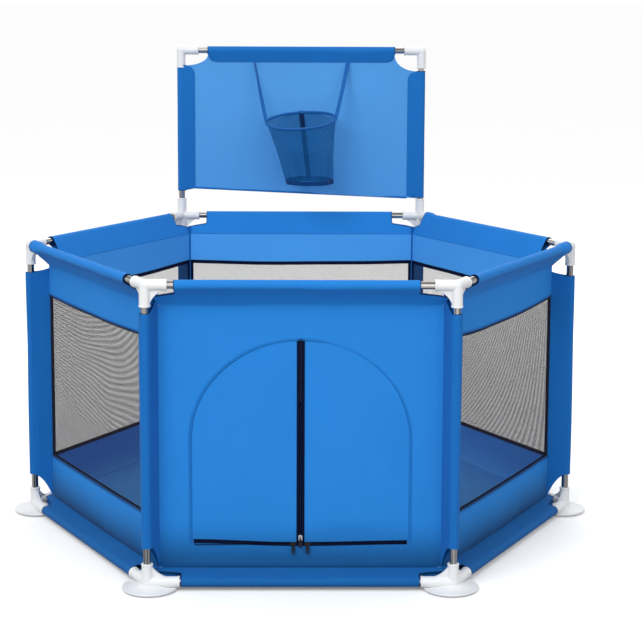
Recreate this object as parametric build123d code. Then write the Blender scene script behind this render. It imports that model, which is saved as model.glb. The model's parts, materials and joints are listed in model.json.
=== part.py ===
from build123d import *
import os
from math import cos, radians, sin, sqrt, tan

# Six-sided play pen with a ball hoop. Millimetres, +Z up, origin on the floor under the middle of the pen.
# The door side faces -Y and the hoop board stands on the back side, at +Y.

# ---- driving dimensions ----
side_length = 640.0        # post to post along one side
low_rail_z = 18.0
top_rail_z = 648.0
board_rise = 442.0         # top tube of the hoop board above the top rails
tube_radius = 8.0
tube_wall = 0.6
cloth = 1.2                # thickness of woven cloth
mesh = 0.8                 # thickness of window mesh
wall_inset = 43.0          # post axis to the cloth corner, measured towards the middle of the pen

# ---- sockets of the plastic connectors ----
socket_radius = 11.5
socket_bore = 8.05
socket_reach = 46.0        # hub to mouth on the top corners and elbows
foot_reach = 68.0          # hub to mouth of the foot's two arms
foot_socket = 40.0         # height of the foot's upright socket above its hub
tube_stop = 14.0           # how near to the hub a tube end comes
stop_play = 0.5
lip_radius = 12.4
lip_length = 4.0
rib_thickness = 6.0
corner_rib = 41.0          # reach of a top corner's webs along each socket
foot_rib = 46.0
foot_rib_rise = 35.0
rib_hollow = 0.53          # share of the reach where the web's hollow edge passes

# ---- feet ----
foot_radius = 59.0
foot_inset = 10.0          # foot disc centre lies this much nearer the middle than its post
pad_radius = 55.0
pad_height = 3.0
pad_recess_radius = 42.0
pad_recess = 1.2
disc_rim = 4.0
dome_height = 9.0
dome_top_radius = 15.0

# ---- cloth body ----
sleeve_gap = 0.4           # tube surface to the inside of its sleeve
top_sleeve_half = 252.0
low_sleeve_half = 236.0
sleeve_shoulder = 12.0     # the flap starts to widen this far from its rail
top_crease = 46.0          # wall's upper crease below the top rail
floor_z = 34.0
window_low = 138.0
window_top = 528.0
post_sleeve_low = 95.0
post_sleeve_top = 582.0

# ---- door ----
door_half = 228.0
door_top = 517.0
zip_line = 88.0            # height of the two cross zips
zip_low = 3.0              # half height of a cross zip
zip_half = 6.75            # half width of the upright zip
zip_play = 0.3             # each half zip to the middle of its zip
zip_top = 493.0            # ends of the half zips that fold, clear of the fold line
zip_end = 220.0
fold_play = 0.25           # half of the gap along the fold line of a door flap

# ---- zip sliders and pulls ----
slider_width = 9.0
slider_length = 13.0
slider_thick = 3.2
slider_lift = 0.3          # gap between the zip and the slider's face
pivot_out = 2.6            # pull's pivot in front of the slider's face
pivot_radius = 0.8
eye_radius = 1.8
eye_bore = 0.87
eye_half = 1.3
lug_inner = 1.7
lug_outer = 2.6
pull_width = 7.0
pull_length = 20.0
pull_thick = 1.3
centre_slider_z = 101.0
cross_slider_x = 15.0

# ---- hoop board ----
board_sleeve_low = 700.0
board_sleeve_top = 1042.0
board_top_half = 254.0
board_hem_z = 703.0
notch_radius = 30.0

# ---- hoop, net and straps ----
ring_radius = 92.0
ring_wire = 3.2
ring_back_gap = 5.3        # board cloth to the ring's pivot line
loop_bore = 4.1            # cloth loop that ties the back of the ring to the board
loop_radius = 5.1
loop_half = 7.0
loop_tab = 24.0
ring_pivot_z = 926.0
ring_droop = 9.5           # degrees the front hangs below the level
ring_roll = 4.0            # degrees the left side hangs below the right
net_gap = 5.7
net_wall = 1.0
net_low_radius = 60.0
net_height = 166.0
net_low_shift = 22.0
strap_width = 9.0
strap_thick = 1.2
strap_top_x = 125.0
strap_top_z = 1056.0
strap_clear = 2.4          # strap end to the top of the ring's wire

# ---- worked out from the above ----
apothem = side_length * sqrt(3) / 2
wall_circle = side_length - wall_inset
wall_apothem = wall_circle * sqrt(3) / 2
wall_half = (wall_apothem - cloth / 2) * tan(radians(30)) - 0.1
crease_z = top_rail_z - top_crease
board_z = top_rail_z + board_rise
sleeve_bore = tube_radius + sleeve_gap
sleeve_radius = sleeve_bore + cloth
zip_bottom = zip_line - zip_low
zip_face = wall_apothem + cloth / 2

corners = {"right": 0, "back_right": 60, "back_left": 120, "left": 180, "front_left": 240, "front_right": 300}
sides = {"right_back": 30, "back": 90, "left_back": 150, "left_front": 210, "front": 270, "right_front": 330}
parts = {}


def polar(angle, radius, z=0.0):
    return Vector(radius * cos(radians(angle)), radius * sin(radians(angle)), z)


def side_frame(angle):
    """Local x runs along the side to the right as seen from outside, local y is up, local z points outwards."""
    outward = polar(angle, 1)
    along = polar(angle + 90, 1)
    return Plane(origin=(0, 0, 0), x_dir=along, z_dir=outward)


def rod(start, end, radius, bore=0.0):
    """A round bar or tube from one point to another."""
    start = Vector(*start)
    end = Vector(*end)
    frame = Plane(origin=start, z_dir=end - start)
    disc = Circle(radius)
    if bore > 0:
        disc -= Circle(bore)
    return extrude(frame * disc, (end - start).length)


def tube(start, end):
    return rod(start, end, tube_radius, tube_radius - tube_wall)


def plate(points, thickness, frame, level):
    """A flat sheet: an outline in the frame's x and y, centred on a level along the frame's z."""
    outline = make_face(Polyline(*points, close=True))
    sheet = extrude(outline, thickness / 2, both=True)
    return frame * (Pos(0, 0, level) * sheet)


# ---------------------------------------------------------------- frame tubes

def make_tubes():
    low = low_rail_z + tube_stop + stop_play
    high = top_rail_z - tube_stop - stop_play
    for name, angle in corners.items():
        parts["post_" + name] = tube(polar(angle, side_length, low), polar(angle, side_length, high))
    half = side_length / 2 - tube_stop - stop_play
    for side, angle in sides.items():
        frame = side_frame(angle)
        for level, z in (("top", top_rail_z), ("low", low_rail_z)):
            start = frame.from_local_coords(Vector(-half, z, apothem))
            end = frame.from_local_coords(Vector(half, z, apothem))
            parts[f"{level}_rail_{side}"] = tube(start, end)


# ---------------------------------------------------------------- plastic connectors

def arm(hub, direction, reach):
    """A socket arm with a rolled lip at its mouth, without its bore."""
    tip = hub + direction * reach
    mouth = rod(tip - direction * lip_length, tip, lip_radius)
    return rod(hub, tip, socket_radius) + fillet(mouth.edges(), 1.2)


def arm_bore(hub, direction, reach):
    return rod(hub + direction * tube_stop, hub + direction * (reach + 1), socket_bore)


def rib(hub, along, upright, reach, drop):
    """A web between an arm and the upright socket, with a hollow curved edge."""
    frame = Plane(origin=hub, x_dir=along, z_dir=along.cross(upright))
    near = socket_radius - 2
    web = make_face(
        [
            Line((0, 0), (reach, 0)),
            Line((reach, 0), (reach, near)),
            ThreePointArc((reach, near), (reach * rib_hollow, drop * rib_hollow), (near, drop)),
            Line((near, drop), (0, drop)),
            Line((0, drop), (0, 0)),
        ]
    )
    return frame * extrude(web, rib_thickness / 2, both=True)


def corner_connector(upward):
    """Two rail sockets at 120 degrees and one down for the post; the back pair has a fourth for the board.

    Made at the corner on +X and turned to its own corner afterwards.
    """
    hub = polar(0, side_length, top_rail_z)
    down = Vector(0, 0, -1)
    arms = [polar(120, 1), polar(-120, 1), down]
    if upward:
        arms.append(Vector(0, 0, 1))
    body = Pos(hub) * Sphere(socket_radius)
    for direction in arms:
        body += arm(hub, direction, socket_reach)
    for direction in arms[:2]:
        body += rib(hub, direction, down, corner_rib, corner_rib)
    for direction in arms:
        body -= arm_bore(hub, direction, socket_reach)
    return body


def foot_connector():
    """Round foot disc with a low dome, two long rail sockets and one upright socket, at the corner on +X."""
    hub = polar(0, side_length, low_rail_z)
    centre = polar(0, side_length - foot_inset)
    up = Vector(0, 0, 1)
    rim_z = pad_height + disc_rim
    profile = make_face(
        [
            Line((0, pad_height), (foot_radius - 1.5, pad_height)),
            ThreePointArc((foot_radius - 1.5, pad_height), (foot_radius, pad_height + 2), (foot_radius - 1, rim_z)),
            ThreePointArc((foot_radius - 1, rim_z), (34, rim_z + 2.6), (dome_top_radius, rim_z + dome_height)),
            Line((dome_top_radius, rim_z + dome_height), (0, rim_z + dome_height)),
            Line((0, rim_z + dome_height), (0, pad_height)),
        ]
    )
    body = Pos(centre) * revolve(Plane.XZ * profile, Axis.Z)
    arms = [(polar(120, 1), foot_reach), (polar(-120, 1), foot_reach), (up, foot_socket)]
    body += Pos(hub) * Sphere(socket_radius)
    for direction, reach in arms:
        body += arm(hub, direction, reach)
    for direction, reach in arms[:2]:
        body += rib(hub, direction, up, foot_rib, foot_rib_rise)
    for direction, reach in arms:
        body -= arm_bore(hub, direction, reach)
    return body


def foot_pads():
    """Soft suction pads, one under each foot disc, hollow underneath."""
    pads = []
    for angle in corners.values():
        centre = polar(angle, side_length - foot_inset)
        pad = Cylinder(pad_radius, pad_height, align=(Align.CENTER, Align.CENTER, Align.MIN))
        pad -= Cylinder(pad_recess_radius, pad_recess, align=(Align.CENTER, Align.CENTER, Align.MIN))
        pads.append(Pos(centre) * pad)
    return Compound(children=pads)


def board_elbow(side):
    """Right-angle elbow of the hoop board: one socket down, one across."""
    hub = Vector(side * side_length / 2, apothem, board_z)
    arms = [Vector(0, 0, -1), Vector(-side, 0, 0)]
    body = Pos(hub) * Sphere(socket_radius)
    for direction in arms:
        body += arm(hub, direction, socket_reach)
    body += rib(hub, arms[1], arms[0], 24, 24)
    for direction in arms:
        body -= arm_bore(hub, direction, socket_reach)
    return body


# ---------------------------------------------------------------- cloth body

def rail_sleeve(frame, z, half):
    start = frame.from_local_coords(Vector(-half, z, apothem))
    end = frame.from_local_coords(Vector(half, z, apothem))
    return rod(start, end, sleeve_radius, sleeve_bore)


def rail_flap(frame, rail_z, half, crease):
    """Sloping strip from a rail sleeve to the wall's crease, widening from the sleeve to the full wall."""
    drop = crease - rail_z
    run = wall_apothem - apothem
    length = sqrt(drop * drop + run * run)
    start = frame.from_local_coords(Vector(0, rail_z, apothem))
    end = frame.from_local_coords(Vector(0, crease, wall_apothem))
    slope = (end - start).normalized()
    along = frame.x_dir
    first = sqrt(sleeve_radius**2 - (cloth / 2) ** 2) + 0.05
    last = length - cloth / 2 - 0.1
    points = [
        (-half, first),
        (half, first),
        (half, sleeve_shoulder),
        (wall_half, last),
        (-wall_half, last),
        (-half, sleeve_shoulder),
    ]
    local = Plane(origin=start, x_dir=along, z_dir=along.cross(slope))
    return plate(points, cloth, local, 0)


def wall_band(frame, low, high):
    points = [(-wall_half, low), (wall_half, low), (wall_half, high), (-wall_half, high)]
    return plate(points, cloth, frame, wall_apothem)


def side_cloth(angle):
    """Sewn panel of a window side: sleeve, flap and band above the window, and the same below it."""
    frame = side_frame(angle)
    pieces = [
        rail_sleeve(frame, top_rail_z, top_sleeve_half),
        rail_flap(frame, top_rail_z, top_sleeve_half, crease_z),
        wall_band(frame, window_top, crease_z),
        wall_band(frame, floor_z, window_low),
        rail_flap(frame, low_rail_z, low_sleeve_half, floor_z),
        rail_sleeve(frame, low_rail_z, low_sleeve_half),
    ]
    return Compound(children=pieces)


def mesh_windows():
    panes = []
    for side, angle in sides.items():
        if side == "front":
            continue
        points = [
            (-wall_half, window_low),
            (wall_half, window_low),
            (wall_half, window_top),
            (-wall_half, window_top),
        ]
        panes.append(plate(points, mesh, side_frame(angle), wall_apothem))
    return Compound(children=panes)


def fold_x(z, offset=0.0):
    """Distance from the middle to the door flap's fold line at a height; offset is square to the line, outwards."""
    rise = door_top - zip_bottom
    slant = sqrt(rise * rise + door_half * door_half)
    return door_half * (door_top - z) / rise + offset * slant / rise


def fold_z(x, offset=0.0):
    """Height of the fold line, moved outwards by offset, at a distance from the middle."""
    rise = door_top - zip_bottom
    slant = sqrt(rise * rise + door_half * door_half)
    return door_top - (x - offset * slant / rise) * rise / door_half


def front_cloth():
    """Door side: flaps and sleeves as elsewhere, a header, two jambs beside the fold lines and a sill."""
    frame = side_frame(sides["front"])
    pieces = [
        rail_sleeve(frame, top_rail_z, top_sleeve_half),
        rail_flap(frame, top_rail_z, top_sleeve_half, crease_z),
        wall_band(frame, door_top, crease_z),
        wall_band(frame, floor_z, zip_bottom),
        rail_flap(frame, low_rail_z, low_sleeve_half, floor_z),
        rail_sleeve(frame, low_rail_z, low_sleeve_half),
    ]
    for side in (-1, 1):
        points = [
            (side * wall_half, zip_bottom),
            (side * fold_x(zip_bottom, fold_play), zip_bottom),
            (side * fold_x(door_top, fold_play), door_top),
            (side * wall_half, door_top),
        ]
        pieces.append(plate(points, cloth, frame, wall_apothem))
    return Compound(children=pieces)


def door_flap(side):
    """The part of a door leaf that folds: a triangle between the fold line, the upright zip and the cross zip."""
    low = zip_line + zip_low
    points = [
        (side * zip_half, low),
        (side * fold_x(low, -fold_play), low),
        (side * zip_half, fold_z(zip_half, -fold_play)),
    ]
    return plate(points, cloth, side_frame(sides["front"]), wall_apothem)


def flap_zip(side):
    """Half zips sewn to a door flap: one up the middle, one along the foot of the flap."""
    low = zip_line + zip_play
    high = zip_line + zip_low
    inner = zip_play
    frame = side_frame(sides["front"])
    upright = [
        (side * inner, low),
        (side * zip_half, low),
        (side * zip_half, zip_top),
        (side * inner, zip_top),
    ]
    cross = [
        (side * zip_half, low),
        (side * zip_end, low),
        (side * zip_end, high),
        (side * zip_half, high),
    ]
    return plate(upright, cloth, frame, wall_apothem) + plate(cross, cloth, frame, wall_apothem)


def sill_zip():
    """Fixed lower halves of the two cross zips."""
    frame = side_frame(sides["front"])
    halves = []
    for side in (-1, 1):
        points = [
            (side * zip_play, zip_bottom),
            (side * (door_half - 2), zip_bottom),
            (side * (door_half - 2), zip_line),
            (side * zip_play, zip_line),
        ]
        halves.append(plate(points, cloth, frame, wall_apothem))
    return Compound(children=halves)


def post_sleeves():
    """Sleeve on each post and the fin that ties it to the cloth corner."""
    pieces = []
    for angle in corners.values():
        low = polar(angle, side_length, post_sleeve_low)
        high = polar(angle, side_length, post_sleeve_top)
        pieces.append(rod(low, high, sleeve_radius, sleeve_bore))
        frame = Plane(origin=(0, 0, 0), x_dir=polar(angle, 1), z_dir=polar(angle - 90, 1))
        outer = side_length - sqrt(sleeve_radius**2 - (cloth / 2) ** 2) - 0.05
        inner = wall_circle + 1.5
        points = [
            (inner, post_sleeve_low),
            (outer, post_sleeve_low),
            (outer, post_sleeve_top),
            (inner, post_sleeve_top),
        ]
        pieces.append(plate(points, cloth, frame, 0))
    return Compound(children=pieces)


def floor_cloth():
    """Six-sided floor sheet inside the foot of the walls."""
    inner = wall_apothem - cloth / 2 - 0.2
    points = [tuple(polar(angle, inner / cos(radians(30))))[:2] for angle in corners.values()]
    return plate(points, cloth, Plane.XY, floor_z + cloth / 2)


# ---------------------------------------------------------------- zip sliders

def slider(x, z, width, height):
    """Zip slider: a rounded face plate with two lugs and the bar that its pull hangs on."""
    frame = side_frame(sides["front"])
    face = zip_face + slider_lift
    body = extrude(RectangleRounded(width, height, 3), slider_thick)
    body = chamfer(body.faces().sort_by(Axis.Z)[-1].edges(), 0.7)
    pivot = slider_thick + pivot_out
    for side in (-1, 1):
        centre = side * (lug_inner + lug_outer) / 2
        lug = Box(lug_outer - lug_inner, 3.6, pivot_out + 0.5, align=(Align.CENTER, Align.CENTER, Align.MIN))
        body += Pos(centre, 0, slider_thick - 0.5) * lug
        body += Pos(centre, 0, pivot) * Rot(0, 90, 0) * Cylinder(1.8, lug_outer - lug_inner)
    body += Pos(0, 0, pivot) * Rot(0, 90, 0) * Cylinder(pivot_radius, 2 * lug_outer)
    return frame * (Pos(x, z, face) * body)


def slider_pull(x, z):
    """Pull tab with an eye round the slider's bar, hanging straight down."""
    frame = side_frame(sides["front"])
    level = zip_face + slider_lift + slider_thick + pivot_out
    eye = Rot(0, 90, 0) * Cylinder(eye_radius, 2 * eye_half)
    neck = Pos(0, -2.6, 0) * Box(2 * eye_half, 4.2, pull_thick)
    tab = Pos(0, -4.2 - (pull_length - 4) / 2, 0) * extrude(
        RectangleRounded(pull_width, pull_length - 4, 2), pull_thick / 2, both=True
    )
    hole = Pos(0, -pull_length + 4.2, 0) * Cylinder(1.6, 3)
    body = eye + neck + tab - hole
    body -= Rot(0, 90, 0) * Cylinder(eye_bore, 4 * eye_half)
    return frame * (Pos(x, z, level) * body)


# ---------------------------------------------------------------- hoop board

def ring_loop():
    """Folded tape sewn to the board's front, with the back of the ring running through it."""
    pivot = Vector(0, apothem - cloth / 2 - ring_back_gap, ring_pivot_z)
    along = Vector(loop_half, 0, 0)
    loop = rod(pivot - along, pivot + along, loop_radius)
    tab = Box(2 * loop_half, 1.0, loop_tab, align=(Align.CENTER, Align.MAX, Align.MIN))
    loop += Pos(0, apothem - cloth / 2, ring_pivot_z) * tab
    return loop - rod(pivot - along * 2, pivot + along * 2, loop_bore)


def board_cloth():
    """Sheet of the hoop board with a sleeve at the top and one at each side; the upper corners are cut away."""
    frame = Plane(origin=(0, 0, 0), x_dir=(-1, 0, 0), z_dir=(0, 1, 0))
    grip = sqrt(sleeve_radius**2 - (cloth / 2) ** 2) + 0.05
    outer = side_length / 2 - grip
    top = board_z - grip
    half = board_top_half
    low = board_sleeve_top
    outline = [
        Line((-half, top), (half, top)),
        Line((half, top), (half, low + notch_radius)),
        ThreePointArc(
            (half, low + notch_radius),
            (half + notch_radius * 0.293, low + notch_radius * 0.293),
            (half + notch_radius, low),
        ),
        Line((half + notch_radius, low), (outer, low)),
        Line((outer, low), (outer, board_hem_z)),
        Line((outer, board_hem_z), (-outer, board_hem_z)),
        Line((-outer, board_hem_z), (-outer, low)),
        Line((-outer, low), (-half - notch_radius, low)),
        ThreePointArc(
            (-half - notch_radius, low),
            (-half - notch_radius * 0.293, low + notch_radius * 0.293),
            (-half, low + notch_radius),
        ),
        Line((-half, low + notch_radius), (-half, top)),
    ]
    sheet = frame * (Pos(0, 0, apothem) * extrude(make_face(outline), cloth / 2, both=True))
    pieces = [sheet]
    pieces.append(rod((-half, apothem, board_z), (half, apothem, board_z), sleeve_radius, sleeve_bore))
    for side in (-1, 1):
        x = side * side_length / 2
        low_end = (x, apothem, board_sleeve_low)
        high_end = (x, apothem, board_sleeve_top)
        pieces.append(rod(low_end, high_end, sleeve_radius, sleeve_bore))
    pieces.append(ring_loop())
    return Compound(children=pieces)


ring_pivot = Vector(0, apothem - cloth / 2 - ring_back_gap, ring_pivot_z)
ring_frame = Pos(ring_pivot) * Rot(ring_droop, 0, 0) * Pos(0, -ring_radius, 0) * Rot(0, -ring_roll, 0)


def hoop_ring():
    return ring_frame * Torus(ring_radius, ring_wire)


def hoop_net():
    """Tapered sleeve of net below the ring, open at the foot, which hangs a little to the right."""
    foot = ring_frame.position + Vector(net_low_shift, 0, -net_height)
    shells = []
    for inset in (0, net_wall):
        top_ring = ring_frame * (Pos(0, 0, -net_gap) * Circle(ring_radius - 0.5 - inset))
        low_ring = Pos(foot) * Circle(net_low_radius - inset)
        shells.append(loft([top_ring, low_ring]))
    return shells[0] - shells[1]


def hoop_strap(side):
    """Flat tape from the seam under the board's top sleeve to the side of the ring."""
    top = Vector(side * strap_top_x, apothem - cloth / 2 - strap_thick, strap_top_z)
    rim = ring_frame * Pos(side * ring_radius, 0, ring_wire + strap_clear)
    low = rim.position
    run = low - top
    frame = Plane(origin=top, x_dir=(1, 0, 0), z_dir=run)
    return extrude(frame * Rectangle(strap_width, strap_thick), run.length)


# ---------------------------------------------------------------- build everything

make_tubes()
plain_corner = corner_connector(upward=False)
board_corner = corner_connector(upward=True)
foot = foot_connector()
for corner, corner_angle in corners.items():
    turn = Rot(0, 0, corner_angle)
    parts["corner_" + corner] = turn * (board_corner if corner.startswith("back") else plain_corner)
    parts["foot_" + corner] = turn * foot
parts["foot_pads"] = foot_pads()

for side_name, side_angle in sides.items():
    if side_name != "front":
        parts["side_cloth_" + side_name] = side_cloth(side_angle)
parts["front_cloth"] = front_cloth()
parts["mesh_windows"] = mesh_windows()
parts["post_sleeves"] = post_sleeves()
parts["floor_cloth"] = floor_cloth()

for hand, sign in (("left", -1), ("right", 1)):
    parts["door_flap_" + hand] = door_flap(sign)
    parts["zip_tape_" + hand] = flap_zip(sign)
    parts["zip_slider_" + hand] = slider(sign * cross_slider_x, zip_line, slider_length, slider_width)
    parts["zip_pull_" + hand] = slider_pull(sign * cross_slider_x, zip_line)
    foot_of_upright = (sign * side_length / 2, apothem, top_rail_z + tube_stop + stop_play)
    head_of_upright = (sign * side_length / 2, apothem, board_z - tube_stop - stop_play)
    parts["board_upright_" + hand] = tube(foot_of_upright, head_of_upright)
    parts["board_elbow_" + hand] = board_elbow(sign)
parts["zip_tape_sill"] = sill_zip()
parts["zip_slider_centre"] = slider(0, centre_slider_z, slider_width, slider_length)
parts["zip_pull_centre"] = slider_pull(0, centre_slider_z)

top_half = side_length / 2 - tube_stop - stop_play
parts["board_top_tube"] = tube((-top_half, apothem, board_z), (top_half, apothem, board_z))
parts["board_cloth"] = board_cloth()
parts["hoop_ring"] = hoop_ring()
parts["hoop_net"] = hoop_net()
parts["hoop_straps"] = Compound(children=[hoop_strap(-1), hoop_strap(1)])

os.makedirs("parts", exist_ok=True)
for node, shape in parts.items():
    export_step(shape, f"parts/{node}.step")
print(len(parts), "nodes")
print("wall apothem", round(wall_apothem, 2), "wall half", round(wall_half, 2), "ring centre", ring_frame.position)
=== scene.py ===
import json
import math
import bpy
from mathutils import Matrix, Vector, noise


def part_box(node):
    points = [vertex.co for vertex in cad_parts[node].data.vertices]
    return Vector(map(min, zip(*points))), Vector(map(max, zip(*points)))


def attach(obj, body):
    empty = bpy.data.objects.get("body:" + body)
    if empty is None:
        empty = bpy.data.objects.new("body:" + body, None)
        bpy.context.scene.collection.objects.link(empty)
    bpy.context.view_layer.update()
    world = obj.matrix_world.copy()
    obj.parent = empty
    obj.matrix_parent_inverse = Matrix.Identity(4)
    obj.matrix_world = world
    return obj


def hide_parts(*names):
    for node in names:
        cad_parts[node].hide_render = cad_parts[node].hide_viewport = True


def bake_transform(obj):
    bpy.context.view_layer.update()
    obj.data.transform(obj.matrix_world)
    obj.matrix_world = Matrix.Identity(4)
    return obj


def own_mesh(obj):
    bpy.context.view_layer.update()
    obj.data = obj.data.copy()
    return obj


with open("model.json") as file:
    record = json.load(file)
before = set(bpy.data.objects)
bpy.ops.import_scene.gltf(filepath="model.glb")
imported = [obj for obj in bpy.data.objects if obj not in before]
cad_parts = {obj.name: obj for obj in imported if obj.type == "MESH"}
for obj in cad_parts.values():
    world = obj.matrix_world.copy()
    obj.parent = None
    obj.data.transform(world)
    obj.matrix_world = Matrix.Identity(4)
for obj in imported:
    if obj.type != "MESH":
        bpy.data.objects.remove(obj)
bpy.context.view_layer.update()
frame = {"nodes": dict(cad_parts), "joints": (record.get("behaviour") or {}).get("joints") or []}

bpy.ops.object.select_all(action="DESELECT")

# places read from the frame


def middle(node):
    low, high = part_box(node)
    return (low + high) / 2


def spread(node):
    low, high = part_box(node)
    return high - low


railOut = -middle("top_rail_front").y        # middle of the pen to the rails
topRailZ = middle("top_rail_front").z
lowRailZ = middle("low_rail_front").z
tubeRadius = spread("top_rail_front").z / 2
postOut = middle("post_right").x
wallOut = -middle("zip_tape_sill").y        # middle of the pen to the cloth walls
wallHalf = wallOut * math.tan(math.radians(30))
wallCorner = wallHalf * 2
windowLow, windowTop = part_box("mesh_windows")[0].z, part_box("mesh_windows")[1].z
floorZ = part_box("floor_cloth")[1].z
boardOut = middle("board_top_tube").y
boardTopZ = middle("board_top_tube").z
uprightX = middle("board_upright_right").x
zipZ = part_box("zip_tape_sill")[1].z        # line where the cross zips part
joints = {joint["name"]: joint for joint in frame["joints"]}

sides = {"right_back": 30, "back": 90, "left_back": 150, "left_front": 210, "front": 270, "right_front": 330}
corners = {"right": 0, "back_right": 60, "back_left": 120, "left": 180, "front_left": 240, "front_right": 300}

cloth = {
    "thick": 0.001,
    "sleeveRoom": 0.0016,        # cloth to tube
    "armRadius": 0.0135,        # sleeve where it covers a socket arm
    "armStart": 0.262,
    "creaseDrop": 0.046,        # wall's upper crease below the top rail
    "lowRound": 0.012,
    "ripple": 0.0012,
    "edge": 0.0010,        # bound edge at a sleeve's ends
    "bellyHigh": 0.095,        # how far up a wall its swelling foot reaches
    "bellyOut": 0.018,
    "hollow": 0.0035,        # how far the outer layer of a top sleeve dips between tube and crease
}


def sidePoint(angle, along, out, z):
    a = math.radians(angle)
    return Vector((out * math.cos(a) - along * math.sin(a), out * math.sin(a) + along * math.cos(a), z))


def ease(x):
    x = min(max(x, 0.0), 1.0)
    return x * x * (3 - 2 * x)


def ripple(point, length, amount):
    return noise.noise(point / length) * amount


def only(piece):
    bpy.ops.object.select_all(action="DESELECT")
    piece.select_set(True)
    bpy.context.view_layer.objects.active = piece


def finishPiece(piece, material, angle=40):
    only(piece)
    bpy.ops.object.transform_apply(location=True, rotation=True, scale=True)
    bpy.ops.object.shade_smooth_by_angle(angle=math.radians(angle))
    if not piece.data.materials:
        piece.data.materials.append(material)
    return piece


def applied(piece, kind, **values):
    only(piece)
    modifier = piece.modifiers.new(kind.title(), kind)
    for key, value in values.items():
        setattr(modifier, key, value)
    bpy.ops.object.modifier_apply(modifier=modifier.name)


def clothSheet(name, across, up, place, size, material, thick=cloth["thick"], wrapped=False, lining=None):
    # a flat grid, each point moved to its place in the sewn shape, then given its thickness
    bpy.ops.mesh.primitive_grid_add(x_subdivisions=across, y_subdivisions=up, size=1)
    piece = bpy.context.object
    piece.name = name
    piece.data.name = name
    for vertex in piece.data.vertices:
        vertex.co = place(vertex.co.x + 0.5, vertex.co.y + 0.5)
    for corner in piece.data.uv_layers.active.data:
        corner.uv = (corner.uv[0] * size[0], corner.uv[1] * size[1])
    for layer in (material, lining):
        if layer:
            piece.data.materials.append(layer)
    if wrapped:
        only(piece)
        bpy.ops.object.mode_set(mode="EDIT")
        bpy.ops.mesh.select_all(action="SELECT")
        bpy.ops.mesh.remove_doubles(threshold=0.00002)
        bpy.ops.object.mode_set(mode="OBJECT")
    if thick:
        applied(piece, "SOLIDIFY", thickness=thick, offset=0, use_even_offset=True,
                material_offset=1 if lining else 0)
    return finishPiece(piece, material)


def joined(pieces, name):
    bpy.ops.object.select_all(action="DESELECT")
    for piece in pieces:
        piece.select_set(True)
    bpy.context.view_layer.objects.active = pieces[0]
    bpy.ops.object.join()
    pieces[0].name = name
    pieces[0].data.name = name
    return pieces[0]


def tubeAlong(name, points, radius, material, sides=8, closed=False, flatten=1.0):
    # a thin round welt or cord-like trim along a line of points
    curve = bpy.data.curves.new(name, "CURVE")
    curve.dimensions = "3D"
    line = curve.splines.new("POLY")
    line.points.add(len(points) - 1)
    for point, place in zip(line.points, points):
        point.co = (*place, 1)
    line.use_cyclic_u = closed
    curve.bevel_depth = radius
    curve.bevel_resolution = max(1, sides // 4)
    curve.use_fill_caps = not closed
    piece = bpy.data.objects.new(name, curve)
    bpy.context.scene.collection.objects.link(piece)
    only(piece)
    bpy.ops.object.convert(target="MESH")
    return finishPiece(bpy.context.object, material, 60)


def mathNode(tree, operation, first, second=None, third=None):
    node = tree.nodes.new("ShaderNodeMath")
    node.operation = operation
    for index, value in enumerate((first, second, third)):
        if value is None:
            continue
        if isinstance(value, (int, float)):
            node.inputs[index].default_value = value
        else:
            tree.links.new(value, node.inputs[index])
    return node.outputs[0]


def noiseNode(tree, vector, scale, detail=2.0, stretch=None):
    if stretch:
        mapping = tree.nodes.new("ShaderNodeMapping")
        mapping.inputs["Scale"].default_value = stretch
        tree.links.new(vector, mapping.inputs["Vector"])
        vector = mapping.outputs[0]
    node = tree.nodes.new("ShaderNodeTexNoise")
    node.inputs["Scale"].default_value = scale
    node.inputs["Detail"].default_value = detail
    tree.links.new(vector, node.inputs["Vector"])
    return node.outputs["Fac"]


def mixColour(tree, amount, first, second, blend="MIX"):
    node = tree.nodes.new("ShaderNodeMix")
    node.data_type = "RGBA"
    node.blend_type = blend
    for socket, value in ((node.inputs[0], amount), (node.inputs[6], first), (node.inputs[7], second)):
        if isinstance(value, (int, float)):
            socket.default_value = value
        elif isinstance(value, tuple):
            socket.default_value = (*value, 1)
        else:
            tree.links.new(value, socket)
    return node.outputs[2]


def newGroup(name, ins, outs):
    group = bpy.data.node_groups.new(name, "ShaderNodeTree")
    for label, kind, value in ins:
        socket = group.interface.new_socket(name=label, in_out="INPUT", socket_type=kind)
        if value is not None:
            socket.default_value = value
    for label, kind in outs:
        group.interface.new_socket(name=label, in_out="OUTPUT", socket_type=kind)
    return group, group.nodes.new("NodeGroupInput").outputs, group.nodes.new("NodeGroupOutput").inputs


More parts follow.
